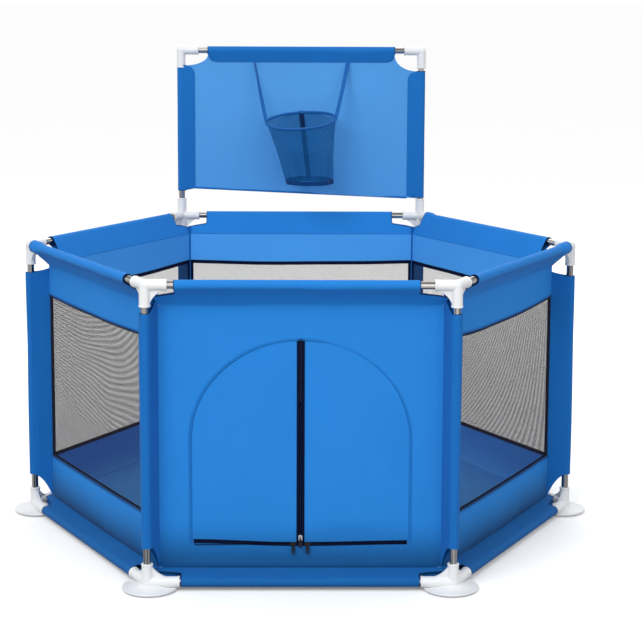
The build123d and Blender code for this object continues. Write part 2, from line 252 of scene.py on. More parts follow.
def makeWeaveGroup():
    # plain weave: warp and weft threads take turns on top, with slubs and soft shade changes
    group, given, out = newGroup(
        "plainWeave",
        [("Vector", "NodeSocketVector", None), ("Threads", "NodeSocketFloat", 1400.0),
         ("Colour", "NodeSocketColor", (0.1, 0.2, 0.8, 1)), ("Shade", "NodeSocketFloat", 0.12)],
        [("Colour", "NodeSocketColor"), ("Height", "NodeSocketFloat"), ("Roughness", "NodeSocketFloat")],
    )
    split = group.nodes.new("ShaderNodeSeparateXYZ")
    group.links.new(given["Vector"], split.inputs[0])
    waves = []
    for axis in (0, 1):
        turns = mathNode(group, "MULTIPLY", split.outputs[axis], given["Threads"])
        waves.append(mathNode(group, "MULTIPLY", turns, math.pi))
    warp = mathNode(group, "ABSOLUTE", mathNode(group, "SINE", waves[0]))
    weft = mathNode(group, "ABSOLUTE", mathNode(group, "SINE", waves[1]))
    turn = mathNode(group, "MULTIPLY", mathNode(group, "COSINE", waves[0]), mathNode(group, "COSINE", waves[1]))
    over = mathNode(group, "GREATER_THAN", turn, 0.0)
    under = mathNode(group, "SUBTRACT", 1.0, over)
    threads = mathNode(group, "ADD", mathNode(group, "MULTIPLY", warp, over),
                       mathNode(group, "MULTIPLY", weft, under))
    slub = noiseNode(group, given["Vector"], 260.0, 2.0, (1, 0.12, 1))
    height = mathNode(group, "ADD", threads, mathNode(group, "MULTIPLY", slub, 0.8))
    soft = noiseNode(group, given["Vector"], 5.0, 3.0)
    shade = mathNode(group, "MULTIPLY", mathNode(group, "SUBTRACT", soft, 0.5), given["Shade"])
    fine = mathNode(group, "MULTIPLY", mathNode(group, "SUBTRACT", threads, 0.6), 0.10)
    level = mathNode(group, "ADD", mathNode(group, "ADD", shade, fine), 1.0)
    scale = group.nodes.new("ShaderNodeVectorMath")
    scale.operation = "SCALE"
    group.links.new(given["Colour"], scale.inputs[0])
    group.links.new(level, scale.inputs["Scale"])
    group.links.new(scale.outputs[0], out["Colour"])
    group.links.new(height, out["Height"])
    rough = mathNode(group, "ADD", 0.62, mathNode(group, "MULTIPLY", slub, 0.2))
    group.links.new(rough, out["Roughness"])
    return group


def makeNetGroup():
    # knitted mesh: six-sided holes between thin threads
    group, given, out = newGroup(
        "knitMesh",
        [("Vector", "NodeSocketVector", None), ("Pitch", "NodeSocketFloat", 0.002),
         ("Thread", "NodeSocketFloat", -0.72)],
        [("Alpha", "NodeSocketFloat"), ("Height", "NodeSocketFloat")],
    )
    total = None
    for turn in (0, 120, 240):
        direction = (math.cos(math.radians(turn + 15)), math.sin(math.radians(turn + 15)), 0)
        dot = group.nodes.new("ShaderNodeVectorMath")
        dot.operation = "DOT_PRODUCT"
        group.links.new(given["Vector"], dot.inputs[0])
        dot.inputs[1].default_value = direction
        phase = mathNode(group, "MULTIPLY", mathNode(group, "DIVIDE", dot.outputs["Value"], given["Pitch"]),
                         2 * math.pi)
        wave = mathNode(group, "COSINE", phase)
        total = wave if total is None else mathNode(group, "ADD", total, wave)
    depth = mathNode(group, "SUBTRACT", given["Thread"], total)
    alpha = mathNode(group, "MULTIPLY", mathNode(group, "ADD", depth, 0.42), 1.5)
    clamp = group.nodes.new("ShaderNodeClamp")
    group.links.new(alpha, clamp.inputs["Value"])
    group.links.new(clamp.outputs[0], out["Alpha"])
    group.links.new(depth, out["Height"])
    return group


weaveGroup = makeWeaveGroup()
netGroup = makeNetGroup()


def newMaterial(name):
    material = bpy.data.materials.new(name)
    material.use_nodes = True
    tree = material.node_tree
    shader = tree.nodes["Principled BSDF"]
    coords = tree.nodes.new("ShaderNodeTexCoord")
    return material, tree, shader, coords


def bumpTo(tree, shader, height, strength, distance):
    bump = tree.nodes.new("ShaderNodeBump")
    bump.inputs["Strength"].default_value = strength
    bump.inputs["Distance"].default_value = distance
    tree.links.new(height, bump.inputs["Height"])
    tree.links.new(bump.outputs[0], shader.inputs["Normal"])


def wovenCloth(name, colour, threads=1400.0, shade=0.12, sheen=0.04, bump=0.35, paintedLowShade=0.0):
    material, tree, shader, coords = newMaterial(name)
    weave = tree.nodes.new("ShaderNodeGroup")
    weave.node_tree = weaveGroup
    tree.links.new(coords.outputs["UV"], weave.inputs["Vector"])
    weave.inputs["Threads"].default_value = threads
    weave.inputs["Colour"].default_value = (*colour, 1)
    weave.inputs["Shade"].default_value = shade
    base = weave.outputs["Colour"]
    if paintedLowShade:        # painted shade: darker towards the floor, standing in for the shade low on the walls, in uneven patches
        height = tree.nodes.new("ShaderNodeSeparateXYZ")
        tree.links.new(coords.outputs["Object"], height.inputs[0])
        span = tree.nodes.new("ShaderNodeMapRange")
        span.interpolation_type = "SMOOTHSTEP"
        for socket, value in (("From Min", 0.15), ("From Max", 0.02), ("To Min", 0.0), ("To Max", paintedLowShade)):
            span.inputs[socket].default_value = value
        tree.links.new(height.outputs["Z"], span.inputs["Value"])
        patch = mathNode(tree, "ADD", 0.85,
                         mathNode(tree, "MULTIPLY", noiseNode(tree, coords.outputs["Object"], 9.0), 0.3))
        dark = tuple(channel * 0.12 for channel in colour)
        base = mixColour(tree, mathNode(tree, "MULTIPLY", span.outputs[0], patch), base, dark)
    tree.links.new(base, shader.inputs["Base Color"])
    tree.links.new(weave.outputs["Roughness"], shader.inputs["Roughness"])
    shader.inputs["Sheen Weight"].default_value = sheen
    shader.inputs["Sheen Roughness"].default_value = 0.4
    shader.inputs["Specular IOR Level"].default_value = 0.08
    bumpTo(tree, shader, weave.outputs["Height"], bump, 0.0002)
    return material


def knitMesh(name, colour, pitch, thread):
    material, tree, shader, coords = newMaterial(name)
    net = tree.nodes.new("ShaderNodeGroup")
    net.node_tree = netGroup
    tree.links.new(coords.outputs["UV"], net.inputs["Vector"])
    net.inputs["Pitch"].default_value = pitch
    net.inputs["Thread"].default_value = thread
    shade = noiseNode(tree, coords.outputs["UV"], 30.0)
    lighter = tuple(min(1, c * 1.8 + 0.01) for c in colour)
    tree.links.new(mixColour(tree, shade, colour, lighter), shader.inputs["Base Color"])
    tree.links.new(net.outputs["Alpha"], shader.inputs["Alpha"])
    shader.inputs["Roughness"].default_value = 0.8
    shader.inputs["Specular IOR Level"].default_value = 0.1
    return material


def mouldedPlastic(name, colour, rough=0.34):
    material, tree, shader, coords = newMaterial(name)
    cloudy = noiseNode(tree, coords.outputs["Object"], 22.0, 3.0)
    grain = noiseNode(tree, coords.outputs["Object"], 900.0, 2.0)
    darker = tuple(c * 0.93 for c in colour)
    tree.links.new(mixColour(tree, cloudy, darker, colour), shader.inputs["Base Color"])
    tree.links.new(mathNode(tree, "ADD", rough, mathNode(tree, "MULTIPLY", cloudy, 0.12)), shader.inputs["Roughness"])
    shader.inputs["Coat Weight"].default_value = 0.15
    shader.inputs["Coat Roughness"].default_value = 0.25
    shader.inputs["Subsurface Weight"].default_value = 0.1
    shader.inputs["Subsurface Radius"].default_value = (0.01, 0.01, 0.01)
    bumpTo(tree, shader, grain, 0.12, 0.0002)
    return material


def drawnSteel(name, colour, stretch, rough=0.16):
    material, tree, shader, coords = newMaterial(name)
    # streaks along the tube set roughness and bump; the same streaks, pushed into strong dark and bright bands, are
    # painted reflection stripes in the base colour
    streakAndReflection = noiseNode(tree, coords.outputs["Object"], 1.0, 3.0, stretch)
    darker = tuple(c * 0.18 for c in colour)
    brighter = tuple(min(0.9, c * 1.7) for c in colour)
    paintedReflectionBands = mathNode(tree, "MULTIPLY_ADD", streakAndReflection, 3.2, -1.1)
    paintedReflectionBands.node.use_clamp = True
    tree.links.new(mixColour(tree, paintedReflectionBands, darker, brighter), shader.inputs["Base Color"])
    tree.links.new(mathNode(tree, "ADD", rough, mathNode(tree, "MULTIPLY", streakAndReflection, 0.14)), shader.inputs["Roughness"])
    shader.inputs["Metallic"].default_value = 1.0
    bumpTo(tree, shader, streakAndReflection, 0.08, 0.0002)
    return material


def coatedMetal(name, colour, metallic, rough, gloss=0.5):
    material, tree, shader, coords = newMaterial(name)
    worn = noiseNode(tree, coords.outputs["Object"], 600.0, 3.0)
    lighter = tuple(c * 1.3 + 0.001 for c in colour)
    tree.links.new(mixColour(tree, worn, colour, lighter), shader.inputs["Base Color"])
    tree.links.new(mathNode(tree, "ADD", rough, mathNode(tree, "MULTIPLY", worn, 0.15)), shader.inputs["Roughness"])
    shader.inputs["Metallic"].default_value = metallic
    shader.inputs["Specular IOR Level"].default_value = gloss
    bumpTo(tree, shader, worn, 0.1, 0.0001)
    return material


# painted light and shade: the cloth is one blue, wall; inner and board are lighter copies for light shining through a
# single layer from behind, double, flap and post are darker copies for the shade of doubled cloth round the tubes
colours = {
    "wall": (0.020, 0.210, 0.62),
    "inner": (0.070, 0.345, 0.80),
    "double": (0.012, 0.150, 0.47),
    "flap": (0.016, 0.190, 0.58),
    "post": (0.010, 0.136, 0.45),
    "board": (0.080, 0.310, 0.69),
    "navy": (0.0012, 0.004, 0.026),
    "strap": (0.012, 0.108, 0.37),
    "netHem": (0.003, 0.042, 0.16),
    "thread": (0.010, 0.13, 0.46),
}
# lit and shaded copies of the one wall cloth, from the painted blues above
wallCloth = wovenCloth("wallCloth", colours["wall"], paintedLowShade=0.80)
innerCloth = wovenCloth("innerCloth", colours["inner"])
sleeveCloth = wovenCloth("sleeveCloth", colours["double"], paintedLowShade=0.3)
flapCloth = wovenCloth("flapCloth", colours["flap"])
postCloth = wovenCloth("postCloth", colours["post"])
boardClothMaterial = wovenCloth("boardCloth", colours["board"])
navyTape = wovenCloth("navyTape", colours["navy"], 900.0, 0.3, 0.02, 0.6)
threadBlue = wovenCloth("threadBlue", colours["thread"], 2400.0, 0.2, 0.1, 0.5)
zipTeeth = coatedMetal("zipTeeth", (0.0006, 0.0012, 0.008), 0.0, 0.75, 0.04)
strapTape = wovenCloth("strapTape", colours["strap"], 900.0, 0.2, 0.2, 0.6)
windowMesh = knitMesh("windowMesh", (0.011, 0.009, 0.009), 0.0021, -0.32)
hoopNetMesh = knitMesh("hoopNetMesh", (0.001, 0.072, 0.215), 0.0028, -0.42)
seamTape = wovenCloth("seamTape", (0.0018, 0.016, 0.07), 900.0, 0.3, 0.02, 0.6)
hemTape = wovenCloth("hemTape", colours["netHem"], 900.0, 0.3, 0.1, 0.6)
whitePlastic = mouldedPlastic("whitePlastic", (0.76, 0.775, 0.79))
padRubber = mouldedPlastic("padRubber", (0.72, 0.74, 0.76), 0.45)
steelPost = drawnSteel("steelPost", (0.46, 0.445, 0.43), (260, 260, 3))
steelRail = drawnSteel("steelRail", (0.46, 0.445, 0.43), (3, 3, 260))
sliderMetal = coatedMetal("sliderMetal", (0.55, 0.55, 0.56), 1.0, 0.25)
blackEnamel = coatedMetal("blackEnamel", (0.008, 0.008, 0.012), 0.0, 0.3, 0.25)
hoopCoat = coatedMetal("hoopCoat", (0.004, 0.085, 0.30), 0.0, 0.5, 0.25)
print("stage materials")

stitch = {"long": 0.0026, "step": 0.0038, "wide": 0.0006, "thick": 0.0004}


def stitchRow(name, points, faceOut, body, material):
    # one thread stitch, copied at an even step along a line of points
    bpy.ops.object.select_all(action="DESELECT")
    bpy.ops.mesh.primitive_cube_add(size=1)
    single = bpy.context.object
    single.scale = (stitch["long"], stitch["wide"], stitch["thick"])
    bpy.ops.object.transform_apply(location=False, rotation=False, scale=True)
    applied(single, "BEVEL", width=0.00018, segments=1)
    shape = [vertex.co.copy() for vertex in single.data.vertices]
    outlines = [tuple(face.vertices) for face in single.data.polygons]
    vertices, faces = [], []
    travelled, nextAt = 0.0, stitch["step"] / 2
    for start, end in zip(points, points[1:]):
        run = end - start
        while nextAt <= travelled + run.length and run.length > 0:
            spot = start + run * ((nextAt - travelled) / run.length)
            ahead = run.normalized()
            face = faceOut(spot)
            side = face.cross(ahead).normalized()
            base = len(vertices)
            vertices += [spot + ahead * c.x + side * c.y + face * c.z for c in shape]
            faces += [tuple(base + i for i in outline) for outline in outlines]
            nextAt += stitch["step"]
        travelled += run.length
    mesh = bpy.data.meshes.new(name)
    mesh.from_pydata(vertices, [], faces)
    piece = bpy.data.objects.new(name, mesh)
    bpy.context.scene.collection.objects.link(piece)
    bpy.data.objects.remove(single)
    finishPiece(piece, material, 30)
    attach(piece, body)
    return piece


# CAD nodes that are kept and only get a finish
for name, node in frame["nodes"].items():
    if name.startswith("post_") and name != "post_sleeves" or name.startswith("board_upright"):
        material = steelPost
    elif "_rail_" in name or name == "board_top_tube":
        material = steelRail
    elif name.startswith(("corner_", "foot_")) or name.startswith("board_elbow"):
        material = padRubber if name == "foot_pads" else whitePlastic
    elif name == "zip_slider_centre":
        material = sliderMetal
    elif name.startswith(("zip_slider", "zip_pull")):
        material = blackEnamel
    elif name == "hoop_ring":
        material = hoopCoat
    else:
        continue
    for slot in node.material_slots:
        slot.material = material
print("stage carried-over nodes")


sleeveEnds = {        # each sleeve's ends along its side, seen from outside
    "front": (-0.260, 0.244), "left_front": (-0.293, 0.235), "right_front": (-0.235, 0.293),
    "right_back": (-0.238, 0.281), "back": (-0.244, 0.253), "left_back": (-0.259, 0.244),
}
lowSleeveEnds = (-0.249, 0.249)


def teardrop(axis, radius, tip, gap, straight=8, curved=18, hollow=0.0):
    # closed sleeve section: up one side from the seam at the tip, round the tube, back down to the seam
    run = Vector(tip) - Vector(axis)
    aim = math.atan2(run.y, run.x)
    lean = math.acos(min(0.999, radius / run.length))
    points = []
    square = Vector((-run.y, run.x)).normalized()
    across = square * gap
    touch = [Vector(axis) + Vector((math.cos(aim + s * lean), math.sin(aim + s * lean))) * radius for s in (1, -1)]
    starts = [Vector(tip) + across, Vector(tip) - across]
    for step in range(straight):
        bow = hollow * math.sin(math.pi * step / straight)
        points.append(starts[0].lerp(touch[0], step / straight) - square * bow)
    sweep = 2 * math.pi - 2 * lean
    for step in range(curved + 1):
        a = aim + lean + sweep * step / curved
        points.append(Vector(axis) + Vector((math.cos(a), math.sin(a))) * radius)
    for step in range(1, straight + 1):
        points.append(touch[1].lerp(starts[1], step / straight))
    return points


def lengthOf(points):
    return sum((b - a).length for a, b in zip(points, points[1:]))


def railSleeve(name, angle, ends, axisZ, tipZ, material):
    columns = 90
    rows = 34
    length = ends[1] - ends[0]
    hollow = cloth["hollow"] if tipZ < axisZ else 0.0
    coversArm = max(abs(ends[0]), abs(ends[1])) > cloth["armStart"] + 0.01        # the longer end laps over a socket

    def spreadAt(point):        # 0 round the rail, 1 where the flap has reached its full width
        if tipZ < axisZ:
            return ease(((axisZ - point.y) / (axisZ - tipZ) - 0.42) / 0.22)
        return ease(((railOut - point.x) / (railOut - wallOut) - 0.40) / 0.22)

    def reachAt(point):
        return point.x * math.tan(math.radians(30)) - 0.0004

    def place(u, v):
        along = ends[0] + length * u
        near = ease((abs(along) - cloth["armStart"] + 0.012) / 0.012)
        radius = tubeRadius + cloth["sleeveRoom"] + cloth["thick"] / 2
        if coversArm and along * (abs(ends[1]) - abs(ends[0])) > 0:
            radius += (cloth["armRadius"] - radius) * near
        section = teardrop((railOut, axisZ), radius, (wallOut, tipZ), cloth["thick"], hollow=hollow)
        point = section[round(v * rows)]
        slack = math.sin(math.pi * min(max(v * 2 if v < 0.5 else 2 - 2 * v, 0), 1))
        flare = spreadAt(point)
        if flare > 0:
            reach = reachAt(point)
            along += flare * ((-ends[0] - reach) * (1 - u) ** 6 + (reach - ends[1]) * u ** 6)
        spot = sidePoint(angle, along, point.x, point.y)
        wave = ripple(Vector((along * 1.0, v * 0.3, angle)), 0.09, 0.0022)
        wave += ripple(Vector((along * 3, v, angle)), 0.1, 0.0008)
        return spot + Vector((0, 0, 1)) * wave * slack * (1 if abs(v - 0.5) > 0.2 else 0.0)

    flatSection = teardrop((railOut, axisZ), tubeRadius + cloth["sleeveRoom"], (wallOut, tipZ), cloth["thick"])
    wide = lengthOf(flatSection)
    for first, second in zip(flatSection, flatSection[1:]):
        middle = (first + second) / 2
        share = spreadAt(middle)
    piece = clothSheet(name, columns, rows, place, (length, wide), material)
    for end in (0, 1):
        edge = tubeAlong(f"{name}_edge{end}", [place(end, step / rows) for step in range(rows + 1)],
                         cloth["edge"], hemTape)
        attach(edge, "frame")
    return piece


def edgeInset(rise, radius):
    # how far a rounded corner pulls a side edge in, at a height above the corner's level edge
    if rise >= radius:
        return 0.0
    return radius - math.sqrt(max(0.0, radius * radius - (radius - rise) ** 2))


binding = {
    "wide": 0.009,
    "thick": 0.0016,
    "sag": {210: 0.009, 330: 0.017},        # at the sides with these angles
    "usualSag": 0.007,
    "lowSag": 0.25,        # share of the sag at the lower binding
    "trim": 0.0017,
}


def windowSag(along, angle):
    middleSag = 1 - (along / wallHalf) ** 2
    uneven = 0.6 + 0.5 * noise.noise(Vector((angle, along * 4, 1)))
    return binding["sag"].get(angle, binding["usualSag"]) * middleSag * uneven


def lowBelly(z):
    # the wall swells a little above the floor and tucks under to meet it
    share = min(1.0, max(0.0, (z - floorZ) / cloth["bellyHigh"]))
    return cloth["bellyOut"] * math.sin(math.pi * share ** 0.65)


def wallBand(name, angle, low, high, lowRound, material, bulge=0.002):
    columns, rows = 72, 18
    wide, tall = 2 * wallHalf, high - low

    def place(u, v):
        if lowRound:
            v = v * v * 0.5 + v * 0.5
        inset = edgeInset(tall * v, lowRound) if lowRound else 0
        along = (2 * u - 1) * (wallHalf - 0.0003 - inset)
        sag = windowSag(along, angle)
        z = low + tall * v - (sag * binding["lowSag"] * v if lowRound else sag * (1 - v))
        push = bulge * math.sin(math.pi * u) * math.sin(math.pi * v)
        push += ripple(Vector((along, z, angle)), 0.11, cloth["ripple"]) * math.sin(math.pi * u)
        if lowRound:
            push += lowBelly(z) * max(0.0, math.sin(math.pi * u)) ** 0.5
        return sidePoint(angle, along, wallOut + push * 0.6, z)

    piece = clothSheet(name, columns, rows, place, (wide, tall), material, lining=innerCloth)
    spans = [(-1 + i / 20) * wallHalf for i in range(41)]
    sags = [(-binding["lowSag"] if lowRound else 1) * windowSag(along, angle) for along in spans]
    return piece


topTip = topRailZ - cloth["creaseDrop"]
lowTip = floorZ
for side, angle in sides.items():
    sleeve = railSleeve("topSleeve_" + side, angle, sleeveEnds[side], topRailZ, topTip, flapCloth)
    lowSleeve = railSleeve("lowSleeve_" + side, angle, lowSleeveEnds, lowRailZ, lowTip, sleeveCloth)
    pieces = [sleeve, lowSleeve]
    if side != "front":
        pieces.append(wallBand("topBand_" + side, angle, windowTop, topTip, 0, wallCloth))
        pieces.append(wallBand("lowBand_" + side, angle, floorZ, windowLow, cloth["lowRound"], wallCloth))
    for piece in pieces:
        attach(piece, "frame")
        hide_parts("front_cloth" if side == "front" else "side_cloth_" + side)
for side, angle in sides.items():
    outward = sidePoint(angle, 0, 1, 0)
    steps = [(-1 + i / 12) * (wallHalf - 0.012) for i in range(25)]
    line = [sidePoint(angle, along, wallOut + cloth["thick"] / 2 + 0.0012, topTip - 0.004) for along in steps]
    stitchRow("stitch_crease_" + side, line, lambda spot: outward, "frame", threadBlue)
print("stage sleeves and walls")


def windowPane(side, angle):
    wide, tall = 2 * wallHalf, windowTop - windowLow

    def place(u, v):
        along = (2 * u - 1) * (wallHalf - 0.001)
        z = windowLow + tall * v
        push = ripple(Vector((along, z, angle)), 0.16, 0.003) * math.sin(math.pi * u) * math.sin(math.pi * v)
        return sidePoint(angle, along, wallOut + push, z)

    pane = clothSheet("window_" + side, 40, 30, place, (wide, tall), windowMesh, thick=0)
    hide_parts("mesh_windows")
    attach(pane, "frame")


def windowBinding(side, angle):
    strips = []
    wide, tall = 2 * wallHalf, windowTop - windowLow
    inside = wallOut - cloth["thick"] / 2 - binding["thick"] / 2 - 0.0004
    runs = (("top", wide, windowTop, True), ("low", wide, windowLow, True),
            ("left", tall, -1, False), ("right", tall, 1, False))
    for label, length, level, across in runs:
        def place(u, v):
            offset = (v - 0.5) * binding["wide"]
            if across:
                along = (u - 0.5) * (length - 0.004)
                z = level + offset - windowSag(along, angle) * (1 if label == "top" else binding["lowSag"])
                return sidePoint(angle, along, inside, z)
            z = windowLow + tall * u
            return sidePoint(angle, level * (wallHalf - binding["wide"] / 2 - 0.0015) - offset * level, inside, z)

        strips.append(clothSheet("strip", 60, 3, place, (length, binding["wide"]), navyTape, thick=binding["thick"]))
    piece = joined(strips, "windowBinding_" + side)
    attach(piece, "frame")
    outside = wallOut + cloth["thick"] / 2 + 0.0014
    spans = [(-1 + i / 12) * (wallHalf - 0.004) for i in range(25)]
    topLine = [sidePoint(angle, along, outside, windowTop + 0.001 - windowSag(along, angle)) for along in spans]
    lowLine = [sidePoint(angle, along, outside, windowLow - 0.001 - binding["lowSag"] * windowSag(along, angle))
               for along in spans]
    faceOut = sidePoint(angle, 0, 1, 0)
    for label, line, shift in (("top", topLine, 0.0045), ("low", lowLine, -0.0045)):
        trim = tubeAlong(f"windowTrim_{label}_{side}", line, binding["trim"], hemTape)
        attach(trim, "frame")
        row = [spot + Vector((0, 0, shift)) for spot in line]
        stitchRow(f"stitch_{label}_{side}", row, lambda spot: faceOut, "frame", threadBlue)


for side, angle in sides.items():
    if side != "front":
        windowPane(side, angle)
        windowBinding(side, angle)
print("stage windows")


postSleeve = {"low": 0.092, "top": 0.5885, "radius": 0.0108, "fall": 0.056,
              "rise": {"right": 0.010, "left": 0.010}, "usualRise": 0.036, "lowered": {"right": 0.012, "left": 0.006}}
for corner, angle in corners.items():
    section = teardrop((postOut, 0), postSleeve["radius"], (wallCorner - 0.004, 0), 0.0006)
    tall = postSleeve["top"] - postSleeve["low"]
    turned = math.radians(angle)

    def place(u, v):
        point = section[round(u * 34)]
        share = min(1.0, max(0.0, (postOut - point.x) / (postOut - wallCorner)))
        rise = postSleeve["rise"].get(corner, postSleeve["usualRise"]) * share ** 1.6
        fall = postSleeve["fall"] * share ** 1.8
        z = postSleeve["low"] - fall + (tall - postSleeve["lowered"].get(corner, 0) + rise + fall) * v
        spot = Vector((point.x * math.cos(turned) - point.y * math.sin(turned),
                       point.x * math.sin(turned) + point.y * math.cos(turned), z))
        loose = math.sin(math.pi * u) ** 0.5 if 0 < u < 1 else 0
        fold = ripple(Vector((u * 1.3, z * 0.22, angle)), 0.09, 0.0030) * loose
        outward = Vector((point.x - postOut + 0.012, point.y, 0))
        outward.rotate(Matrix.Rotation(turned, 3, "Z"))
        return spot + outward.normalized() * abs(fold)

    around = lengthOf(section)
    piece = clothSheet("postSleeve_" + corner, 34, 60, place, (around, tall), postCloth)
    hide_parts("post_sleeves")
    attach(piece, "frame")
print("stage post sleeves")


def floorPlace(u, v):
    # square grid drawn onto a six-sided sheet with rounded corners
    x, y = 2 * u - 1, 2 * v - 1
    reach = max(abs(x), abs(y))
    if reach < 1e-6:
        return Vector((0, 0, floorZ))
    a = math.atan2(y, x)
    toSide = (math.degrees(a) % 60) - 30
    edge = wallOut / math.cos(math.radians(toSide))
    edge = min(edge, wallCorner - 0.002)
    out = edge * reach
    lift = ripple(Vector((out * math.cos(a), out * math.sin(a), 3)), 0.2, 0.003) * (1 - reach)
    return Vector((out * math.cos(a), out * math.sin(a), floorZ - 0.0006 + abs(lift)))


# the floor sheet takes the lighter inner blue, painted light that lifts the shade inside the pen
floorSheet = clothSheet("floorSheet", 72, 72, floorPlace, (1.1, 1.1), innerCloth)
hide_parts("floor_cloth")
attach(floorSheet, "frame")
print("stage floor")


door = {
    "half": 0.231,
    "top": topRailZ - 0.1215,
    "spring": topRailZ - 0.334,        # arch turns into straight sides at this height
    "low": zipZ + 0.003,
    "zipHalf": 0.0078,
    "behind": 0.0011,
    "crossHalf": 0.0042,
    "stitchOut": 0.0042,
    "flatOver": 0.012, "flatUnder": 0.036,        # flat strip that the sliders run on, over and under the cross zips
    "leftRise": 0.006, "rightRise": 0.0035,        # cross zips lift towards their outer ends
}


def zipRise(x):
    return door["leftRise" if x < 0 else "rightRise"] * ease((abs(x) - 0.02) / 0.2)


def archHeight(x):
    share = min(1.0, abs(x) / door["half"])
    return door["spring"] + (door["top"] - door["spring"]) * math.sqrt(max(0.0, 1 - share * share))


def archEdge(t):
    # the seam from the left foot (t = 0) over the top to the right foot (t = 1), and the panel's edge beyond it
    legs = door["spring"] - door["low"]
    bow = 0.5 * math.pi * (door["half"] + door["top"] - door["spring"]) / 2
    total = legs + bow
    leftHalf = t <= 0.5
    s = (t if leftHalf else 1 - t) * 2 * total
    if s < legs:
        inner = (-door["half"], door["low"] + s)
        outer = (-wallHalf, door["low"] + s)
    else:
        a = math.pi - 0.5 * math.pi * (s - legs) / bow
        inner = (door["half"] * math.cos(a), door["spring"] + (door["top"] - door["spring"]) * math.sin(a))
        high = topTip - door["spring"]
        turn = math.atan2(high, -wallHalf)
        if a >= turn:
            outer = (-wallHalf, door["spring"] + wallHalf * math.tan(math.pi - a))
        else:
            outer = (high / math.tan(a) if a > 0.5 * math.pi + 1e-4 else 0.0, topTip)
    if not leftHalf:
        inner, outer = (-inner[0], inner[1]), (-outer[0], outer[1])
    return inner, outer


def frontSpot(x, z, out=0.0):
    return Vector((x, -(wallOut + out), z))


def frontRipple(x, z):
    edge = min(1.0, (wallHalf - abs(x)) / 0.05)
    soft = ripple(Vector((x * 0.8, z, 5)), 0.13, 0.0016) + ripple(Vector((x, z * 0.5, 9)), 0.3, 0.003)
    flat = ease((abs(z - zipZ) - door["flatOver" if z > zipZ else "flatUnder"]) / 0.04)
    return soft * edge * flat


def archPlace(u, v):
    inner, outer = archEdge(u)
    x = inner[0] + (outer[0] - inner[0]) * v
    z = inner[1] + (outer[1] - inner[1]) * v
    return frontSpot(x, z, frontRipple(x, z) * (0.3 + 0.7 * v))


def sillPlace(u, v):
    low, high = floorZ, door["low"]
    half = wallHalf - 0.0003 - edgeInset((high - low) * v, cloth["lowRound"])
    x = (2 * u - 1) * half
    if abs(x) < door["half"]:
        high = zipZ - 0.002 + zipRise(x)
    z = low + (high - low) * v
    tuck = lowBelly(z) * 0.8 * ease((high - z - 0.03) / 0.04) * max(0.0, math.sin(math.pi * u)) ** 0.5
    return frontSpot(x, z, frontRipple(x, z) * 0.5 + tuck)


frontArch = clothSheet("frontArch", 240, 12, archPlace, (1.4, 0.12), wallCloth)
frontSill = clothSheet("frontSill", 90, 10, sillPlace, (2 * wallHalf, door["low"] - floorZ), wallCloth)
frontPanel = joined([frontArch, frontSill], "frontPanel")
doorArea = 2 * door["half"] * (door["spring"] - door["low"])
doorArea += 0.5 * math.pi * door["half"] * (door["top"] - door["spring"])
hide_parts("front_cloth")
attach(frontPanel, "frame")

foldJoint = joints["door_fold_right"]
foldTop = Vector(foldJoint["pos_m"])
foldLine = Vector(foldJoint["axis"])


def foldEnds(sign):
    # points just before and just after the fold line, square to it
    line = Vector((foldLine.x * sign, 0, foldLine.z))
    toMiddle = Vector((line.z * sign, 0, -line.x * sign))
    if toMiddle.z > 0:
        toMiddle = -toMiddle
    start = foldTop + line * 0.2 - toMiddle * 0.004
    return start, start + toMiddle * 0.016


def foldWith(piece, sign):
    start, end = foldEnds(sign)
    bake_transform(piece)
    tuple(start)
    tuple(end)


for hand, sign in (("left", -1), ("right", 1)):
    def leafPlace(u, v):
        near, far = door["zipHalf"] - 0.001, door["half"] + 0.004
        x = near + (far - near) * (u if sign > 0 else 1 - u)
        top = archHeight(min(x, door["half"] - 0.0005)) + 0.004
        low = zipZ + zipRise(x * sign) + 0.002
        z = low + (top - low) * v
        puff = 0.004 * math.sin(math.pi * min(1, x / door["half"])) * math.sin(math.pi * v)
        slack = (frontRipple(x * sign, z) * 0.8 + puff) * ease((x - near) / 0.05)
        sunk = door["behind"] * ease((x - door["half"] + 0.03) / 0.03)
        return frontSpot(x * sign, z, slack * (1 - ease((x - door["half"] + 0.06) / 0.06)) - sunk)

    leaf = clothSheet("doorLeaf_" + hand, 60, 90, leafPlace, (door["half"], door["top"] - door["low"]), wallCloth)
    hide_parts("door_flap_" + hand)
    foldWith(leaf, sign)
archThread = [frontSpot(*archEdge(i / 200)[0], 0) for i in range(201)]
line = []
for spot in archThread:
    away = Vector((spot.x, 0, max(0.0, spot.z - door["spring"]) * 1.2))
    moved = spot + away.normalized() * door["stitchOut"]
    lift = frontRipple(moved.x, moved.z) * 0.3 + cloth["thick"] / 2
    line.append(Vector((moved.x, -(wallOut + lift), moved.z)))
stitchRow("stitch_arch", line, lambda spot: Vector((0, -1, 0)), "frame", threadBlue)
print("stage door leaves")

# zips: woven tape with two rows of teeth that meet

zipPart = {"tape": 0.0016, "pitch": 0.0026, "tooth": (0.0030, 0.0015, 0.0024), "proud": 0.0012, "tapeOut": 0.0006}


def toothRow(name, count, start, step, size):
    bpy.ops.mesh.primitive_cube_add(size=1, location=start)
    tooth = bpy.context.object
    tooth.name = name
    tooth.scale = size
    bpy.ops.object.transform_apply(location=False, rotation=False, scale=True)
    applied(tooth, "BEVEL", width=0.00035, segments=1)
    applied(tooth, "ARRAY", count=count, use_relative_offset=False, use_constant_offset=True,
            constant_offset_displace=step)
    if step[0]:
        for vertex in tooth.data.vertices:
            vertex.co.z += zipRise(vertex.co.x)
    return finishPiece(tooth, zipTeeth)


